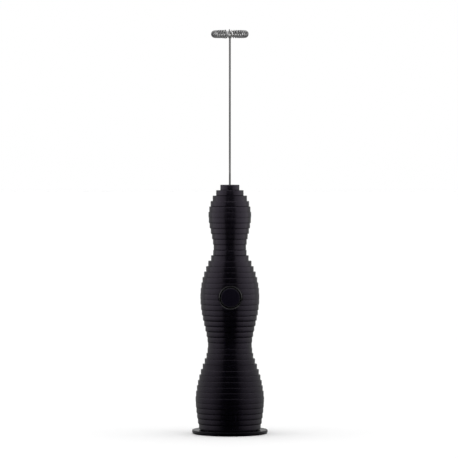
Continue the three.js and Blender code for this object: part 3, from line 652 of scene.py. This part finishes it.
def tube(name, points, radius, sides=10):
    """A round wire along a row of points, with blunt rounded ends."""
    bm = bmesh.new()
    aside = Vector((0, 0, 1)) if abs((points[1] - points[0]).normalized().z) < 0.9 else Vector((1, 0, 0))
    spokes = [2 * math.pi * k / sides for k in range(sides)]
    rings = []
    last = len(points) - 1
    for i, point in enumerate(points):
        along = (points[min(i + 1, last)] - points[max(i - 1, 0)]).normalized()
        aside = (aside - along * aside.dot(along)).normalized()
        across = along.cross(aside)
        outward = {0: -1, last: 1}.get(i, 0)
        made = []
        for girth, beyond in BLUNT_END if outward else BLUNT_END[:1]:
            centre = point + along * (outward * beyond * radius)
            made.append([
                bm.verts.new(centre + (aside * math.cos(a) + across * math.sin(a)) * radius * girth)
                for a in spokes
            ])
        rings.extend(reversed(made) if outward < 0 else made)
    for low, high in zip(rings, rings[1:]):
        for k in range(sides):
            after = (k + 1) % sides
            bm.faces.new((low[k], low[after], high[after], high[k]))
    bm.faces.new(list(reversed(rings[0])))
    bm.faces.new(rings[-1])
    return finished(name, bm, sharp=80)


def smooth_path(points, steps):
    """A curve through all the points, bending as a dressed wire does: a centripetal Catmull-Rom spline."""
    points = [Vector(p) for p in points]
    ends = [2 * points[0] - points[1]] + points + [2 * points[-1] - points[-2]]
    made = []
    for a, b, c, d in zip(ends, ends[1:], ends[2:], ends[3:]):
        before, span, after = ((q - p).length ** 0.5 for p, q in ((a, b), (b, c), (c, d)))
        leave = ((b - a) / before - (c - a) / (before + span) + (c - b) / span) * span
        arrive = ((c - b) / span - (d - b) / (span + after) + (d - c) / after) * span
        for k in range(steps):
            t = k / steps
            rise, fall = t * t * (3 - 2 * t), (1 - t) ** 2 * (1 + 2 * t)
            made.append(b * fall + c * rise + leave * (t * (1 - t) ** 2) - arrive * (t * t * (1 - t)))
    return made + [points[-1]]


def around(radius, angle, height):
    """The point at a radius and an angle round the frother's axis, given in millimetres."""
    return Vector((radius * math.cos(angle), radius * math.sin(angle), height)) * MM


# ---------------------------------------------------------------- whisk

# In millimetres: the shaft bends out into a spoke and then round into a hoop, and a fine spring is wound
# round the hoop. The spring opens a little at both ends.
SHAFT_RADIUS = 0.75
COIL_MIDDLE = 11.5
COIL_RADIUS = 2.6
COIL_FLARE = 0.8
COIL_WIRE = 0.35
COIL_TURNS = 39
COIL_TURN_STEPS = 24
COIL_START = math.radians(3)  # from the spoke to the spring's first turn
COIL_END = math.radians(5)
HOOP_RADIUS = 11.85
HOOP_INSIDE = 10  # outside this radius the wire is hoop
HOOP_DROP = 1.1  # the hoop lies low inside the spring
HOOP_START = math.radians(16)
HOOP_SPAN = math.radians(332)
HOOP_STEPS = 12
SPOKE_ANGLE = math.radians(262)
COIL_DIP = COIL_RADIUS + 0.75 * COIL_FLARE  # how far the opened ends reach above and below the middle
WHISK_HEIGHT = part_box("whisk_coil")[1].z / MM - COIL_DIP - COIL_WIRE


def whisk_shaft():
    """The shaft, its spoke and its hoop, as one wire."""
    foot, hoop_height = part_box("whisk_shaft")[0].z / MM, WHISK_HEIGHT - HOOP_DROP
    spoke = hoop_height + 0.2
    route = [around(0, 0, foot), around(0, 0, (foot + spoke) / 2), around(0, 0, spoke - 2.4)]
    bend = [(0.12, 0, spoke - 1.4), (0.9, 0, spoke - 0.35), (2.2, 0, spoke), (6, 0, spoke)]
    corner = [(9.2, 0, spoke - 0.1), (11.1, 0.035, hoop_height), (11.75, 0.13, hoop_height)]
    turns = [HOOP_START + HOOP_SPAN * k / HOOP_STEPS for k in range(HOOP_STEPS + 1)]
    hoop = [(HOOP_RADIUS, turn, hoop_height) for turn in turns]
    route += [around(radius, SPOKE_ANGLE + turn, height) for radius, turn, height in bend + corner + hoop]
    return tube("fine_whisk_shaft", smooth_path(route, 8), SHAFT_RADIUS * MM, 16)


def whisk_coil():
    """The spring: its last turn stops underneath, where its tail is bent back along the hoop."""
    route = []
    steps = COIL_TURNS * COIL_TURN_STEPS
    for k in range(steps - COIL_TURN_STEPS // 4 + 1):
        turn = COIL_TURNS * k / steps
        from_end = min(turn, COIL_TURNS - turn)
        opened = COIL_RADIUS + COIL_FLARE * max(0.0, 1 - from_end)
        phase = 2 * math.pi * turn
        angle = SPOKE_ANGLE + COIL_START + (2 * math.pi - COIL_START - COIL_END) * k / steps
        reach = COIL_MIDDLE + COIL_RADIUS * math.cos(phase)
        route.append(around(reach, angle, WHISK_HEIGHT + opened * math.sin(phase)))
    under = WHISK_HEIGHT - COIL_DIP
    tail = [
        (12.3, -0.01, under - 0.1), (12.9, -0.05, under - 0.1),
        (12.9, -0.12, under), (12.4, -0.26, under + 0.3),
    ]
    bent = [route[-1]] + [around(reach, angle + turn, height) for reach, turn, height in tail]
    return tube("fine_whisk_coil", route[:-1] + smooth_path(bent, 4), COIL_WIRE * MM, 8)


whisk = dress(whisk_shaft(), "whisk_shaft")
# The hoop part of the wire is painted in the lighter steel: painted light.
repaint(whisk, "hoop_steel_painted_light", lambda at: at.xy.length > HOOP_INSIDE * MM)
dress(whisk_coil(), "whisk_coil", "coil_steel")

# ---------------------------------------------------------------- springs and leads

# All in millimetres.
CELL_OFFSET = 7.35  # from the frother's axis to each cell's
CONTACT_WIRE = 0.28
CONE_TIP, CONE_FOOT = 2, 4.6  # radii of a contact spring's first and last turns
CONE_TURNS = 3
CONE_STEPS = 72
BUTTON_SPRING_FRONT, BUTTON_SPRING_BACK = -18.85, -13.95
BUTTON_SPRING_RADIUS = 3.2
BUTTON_SPRING_WIRE = 0.25
BUTTON_SPRING_TURNS = 4.5
BUTTON_SPRING_STEPS = 108
LEAD_RADIUS = 0.58
LEADS = {
    "lead_battery_switch": [
        (7.35, 0, 61.9), (7.3, -0.6, 66), (6.2, -2.6, 82), (4.4, -5.4, 95), (2.9, -7, 100.5),
        (2.8, -7.2, 103),
    ],
    "lead_switch_motor": [
        (-2.8, -7.2, 107), (-2.6, -6.6, 110), (0, -4.4, 117), (3.4, -2.4, 127), (6, -0.7, 136.5),
        (6.5, 0, 142.7),
    ],
    "lead_battery_motor": [
        (-7.35, 0, 61.9), (-7.8, -0.6, 66), (-9.8, -1.7, 78), (-10.4, -2, 95), (-10.4, -2, 115),
        (-9.2, -1.5, 126), (-7.1, -0.6, 136), (-6.5, 0, 142.7),
    ],
}


def cone_spring(centre, tip_height, foot_height):
    """The route of a contact spring, from a small turn at its tip to a wide one at its foot."""
    route = []
    for k in range(CONE_STEPS + 1):
        t = k / CONE_STEPS
        radius, angle = CONE_TIP + (CONE_FOOT - CONE_TIP) * t, 2 * math.pi * CONE_TURNS * t
        height = tip_height + (foot_height - tip_height) * t
        route.append(Vector((centre + radius * math.cos(angle), radius * math.sin(angle), height)) * MM)
    return route


def button_spring():
    """The plain coil behind the button."""
    route = []
    for k in range(BUTTON_SPRING_STEPS + 1):
        t = k / BUTTON_SPRING_STEPS
        angle = 2 * math.pi * BUTTON_SPRING_TURNS * t
        depth = BUTTON_SPRING_FRONT + (BUTTON_SPRING_BACK - BUTTON_SPRING_FRONT) * t
        across, up = BUTTON_SPRING_RADIUS * math.cos(angle), BUTTON_SPRING_RADIUS * math.sin(angle)
        route.append(Vector((across, depth, BUTTON_HEIGHT / MM + up)) * MM)
    return tube("fine_button_spring", route, BUTTON_SPRING_WIRE * MM)


# The negative spring's wire runs on from its foot to the middle and up to the lead.
negative_route = cone_spring(-CELL_OFFSET, 56.42, 58.4)
for x, z in ((4.3, 58.4), (0.3, 58.4), (0, 58.7), (0, 61.4)):
    negative_route.append(Vector((-CELL_OFFSET + x, 0, z)) * MM)
dress(tube("fine_negative_spring", negative_route, CONTACT_WIRE * MM), "negative_spring")
dress(tube("fine_bridge_spring", cone_spring(CELL_OFFSET, 7.4, 5.65), CONTACT_WIRE * MM), "bridge_spring")

# The button's spring gets a mesh of its own; pressed, it shortens towards its back end, which stays where it
# is.
spring = dress(button_spring(), "button_spring")
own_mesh(spring)

for lead, route in LEADS.items():
    points = smooth_path([Vector(p) * MM for p in route], 8)
    dress(tube("fine_" + lead, points, LEAD_RADIUS * MM, 14), lead)

# ---------------------------------------------------------------- inner pieces

CELL_END_RADIUS = 6.2 * MM  # inside this, a cell's ends are bare metal
EASED_EDGE = 0.15  # in millimetres
EASED_SHARE = 0.2  # of the piece's least thickness, at most


def cell(node, side):
    """A round cell in its wrap, bare metal at both ends."""
    centre = side * CELL_OFFSET * MM
    piece = turned(node, 0.35, 64, Matrix.Translation((-centre, 0, 0)))
    repaint(piece, "contact_metal", lambda at: math.hypot(at.x - centre, at.y) < CELL_END_RADIUS)


def softened(node, width):
    """A copy of a CAD node with its faces joined up and its edges eased by that width in millimetres."""
    bm = bmesh.new()
    bm.from_mesh(frame["nodes"][node].data)
    bmesh.ops.remove_doubles(bm, verts=bm.verts, dist=EQUAL)
    bmesh.ops.dissolve_limit(bm, angle_limit=STRAIGHT, verts=bm.verts, edges=bm.edges)
    piece = finished("fine_" + node, bm, sharp=180)
    bevel = piece.modifiers.new("eased edges", "BEVEL")
    bevel.width = width * MM
    bevel.segments = 2
    bevel.limit_method = "ANGLE"
    bevel.angle_limit = math.radians(40)
    bevel.harden_normals = True
    return piece


cell("battery_cell_1", -1)
cell("battery_cell_2", 1)
turned("motor_rotor", 0.3, 64)
turned("motor_damper", 0.15, 64)
turned("drive_coupling", 0.2, 48)
turned("contact_bridge", 0.06, 64, BUTTON_AXIS)

already_fine = {name for piece in bpy.data.objects for name in piece.get("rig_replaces", [])}
for node in frame["nodes"]:
    if node not in already_fine:
        thickness = min(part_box(node)[1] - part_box(node)[0]) / MM
        dress(softened(node, min(EASED_EDGE, EASED_SHARE * thickness)), node)

# ---------------------------------------------------------------- floor and light

FLOOR_RADIUS = 9
# How the studio's brightness changes round the frother, in degrees from straight in front of it.
SIDES_FROM, SIDES_TO, SIDES_LEVEL = 28, 74, 0.62
BACK_FROM, BACK_TO, BACK_SHARE = 115, 160, 0.6
# How it changes with height, where -1 is straight down and 1 straight up.
LOW_FROM, LOW_TO, LOW_SHARE = -0.35, 0.1, 0.1
OVERHEAD_FROM, OVERHEAD_TO = 0.45, 0.95
OVERHEAD_LEVEL, OVERHEAD_IN_GLOSS = 1.5, 0.3
SOFT_BOXES = {  # place, the point that it faces, width, height and radiance
    "left soft box": ((-0.571, -0.185, 0.36), (0, 0, 0.36), 1.08, 0.6, 0.5),
    "right soft box": ((0.571, -0.185, 0.36), (0, 0, 0.36), 1.08, 0.6, 0.5),
    "front soft box": ((0, -0.6, 0.5), (0, 0, 0.5), 0.8, 0.5, 1.1),
    "top soft box": ((0, 0, 1.2), (0, 0.001, 0), 1.6, 1.6, 1.5),
    "card under the whisk": ((0, 0, 0.2), (0, 0, 0.3), 0.3, 0.3, 0.6),
    "low card": ((0, -0.1, -0.3), (0, -0.1, 0), 1.9, 0.6, 0.9),
}


def make_floor():
    """A plain white floor that doesn't show in the frother's gloss."""
    bm = bmesh.new()
    bmesh.ops.create_circle(bm, cap_ends=True, segments=96, radius=FLOOR_RADIUS)
    floor = finished("floor", bm)
    material = new_material("floor_white", Base_Color=grey(0.96), Roughness=0.7, IOR=1.3)[0]
    floor.data.materials.append(material)
    floor.visible_glossy = False


def make_world():
    """A white studio: bright above, soft at the sides and behind, and dark in front of the frother."""
    world = bpy.data.worlds.new("studio")
    bpy.context.scene.world = world
    world.use_nodes = True
    world.node_tree.nodes.clear()
    shader = Shader(world.node_tree)
    way = shader.node("ShaderNodeTexCoord").outputs["Generated"]
    level = shader.node("ShaderNodeVectorMath", {0: way, 1: (1, 1, 0)}, operation="MULTIPLY").outputs[0]
    level = shader.node("ShaderNodeVectorMath", {0: level}, operation="NORMALIZE").outputs[0]
    behind = shader.node("ShaderNodeSeparateXYZ", {0: level}).outputs["Y"]  # -1 in front, 1 behind
    up = shader.node("ShaderNodeSeparateXYZ", {0: way}).outputs["Z"]
    turn = shader.math("ARCCOSINE", shader.math("MULTIPLY", behind, -1.0))  # 0 in front, pi behind
    sides = shader.remap(turn, math.radians(SIDES_FROM), math.radians(SIDES_TO), 0.0, SIDES_LEVEL)
    fade = shader.remap(turn, math.radians(BACK_FROM), math.radians(BACK_TO), 1.0, BACK_SHARE, smooth=True)
    low = shader.remap(up, LOW_FROM, LOW_TO, LOW_SHARE, 1.0, smooth=True)
    ring = shader.math("MULTIPLY", shader.math("MULTIPLY", sides, fade), low)
    in_gloss = shader.node("ShaderNodeLightPath").outputs["Is Glossy Ray"]
    overhead = shader.remap(in_gloss, 0.0, 1.0, OVERHEAD_LEVEL, OVERHEAD_IN_GLOSS)
    above = shader.math("MULTIPLY", shader.remap(up, OVERHEAD_FROM, OVERHEAD_TO, smooth=True), overhead)
    strength = shader.math("ADD", ring, above)
    lit = shader.node("ShaderNodeBackground", {"Color": grey(1.0), "Strength": strength}).outputs[0]
    seen = shader.node("ShaderNodeBackground", {"Color": grey(1.0), "Strength": 1.0}).outputs[0]
    to_camera = shader.node("ShaderNodeLightPath").outputs["Is Camera Ray"]
    mixed = shader.node("ShaderNodeMixShader", {0: to_camera, 1: lit, 2: seen}).outputs[0]
    shader.node("ShaderNodeOutputWorld", {"Surface": mixed})


def soft_box(name, place, aim, width, height, radiance):
    """A soft box that shows in the frother's own sheen but leaves the floor alone."""
    data = bpy.data.lights.new(name, "AREA")
    data.shape = "RECTANGLE"
    data.size = width
    data.size_y = height
    data.energy = radiance * math.pi * width * height
    lamp = bpy.data.objects.new(name, data)
    bpy.context.scene.collection.objects.link(lamp)
    lamp.location = place
    lamp.rotation_euler = (Vector(aim) - Vector(place)).to_track_quat("-Z", "Y").to_euler()
    lamp.visible_diffuse = False
    lamp.visible_camera = False
    return lamp


def bezel_link(name, state):
    """A collection that tells a lamp to light the bezel alone, or everything but the bezel."""
    made = bpy.data.collections.new(name)
    made.objects.link(bezel)
    made.collection_objects[0].light_linking.link_state = state
    return made


make_floor()
make_world()
lamps = {name: soft_box(name, *box) for name, box in SOFT_BOXES.items()}
# The bezel's bead is too bright with the large boxes in it. The low card lights its lower half instead.
all_but_bezel = bezel_link("lit by the front and top soft boxes", "EXCLUDE")
lamps["front soft box"].light_linking.receiver_collection = all_but_bezel
lamps["top soft box"].light_linking.receiver_collection = all_but_bezel
lamps["low card"].light_linking.receiver_collection = bezel_link("lit by the low card", "INCLUDE")
bpy.context.scene.view_settings.view_transform = "Standard"
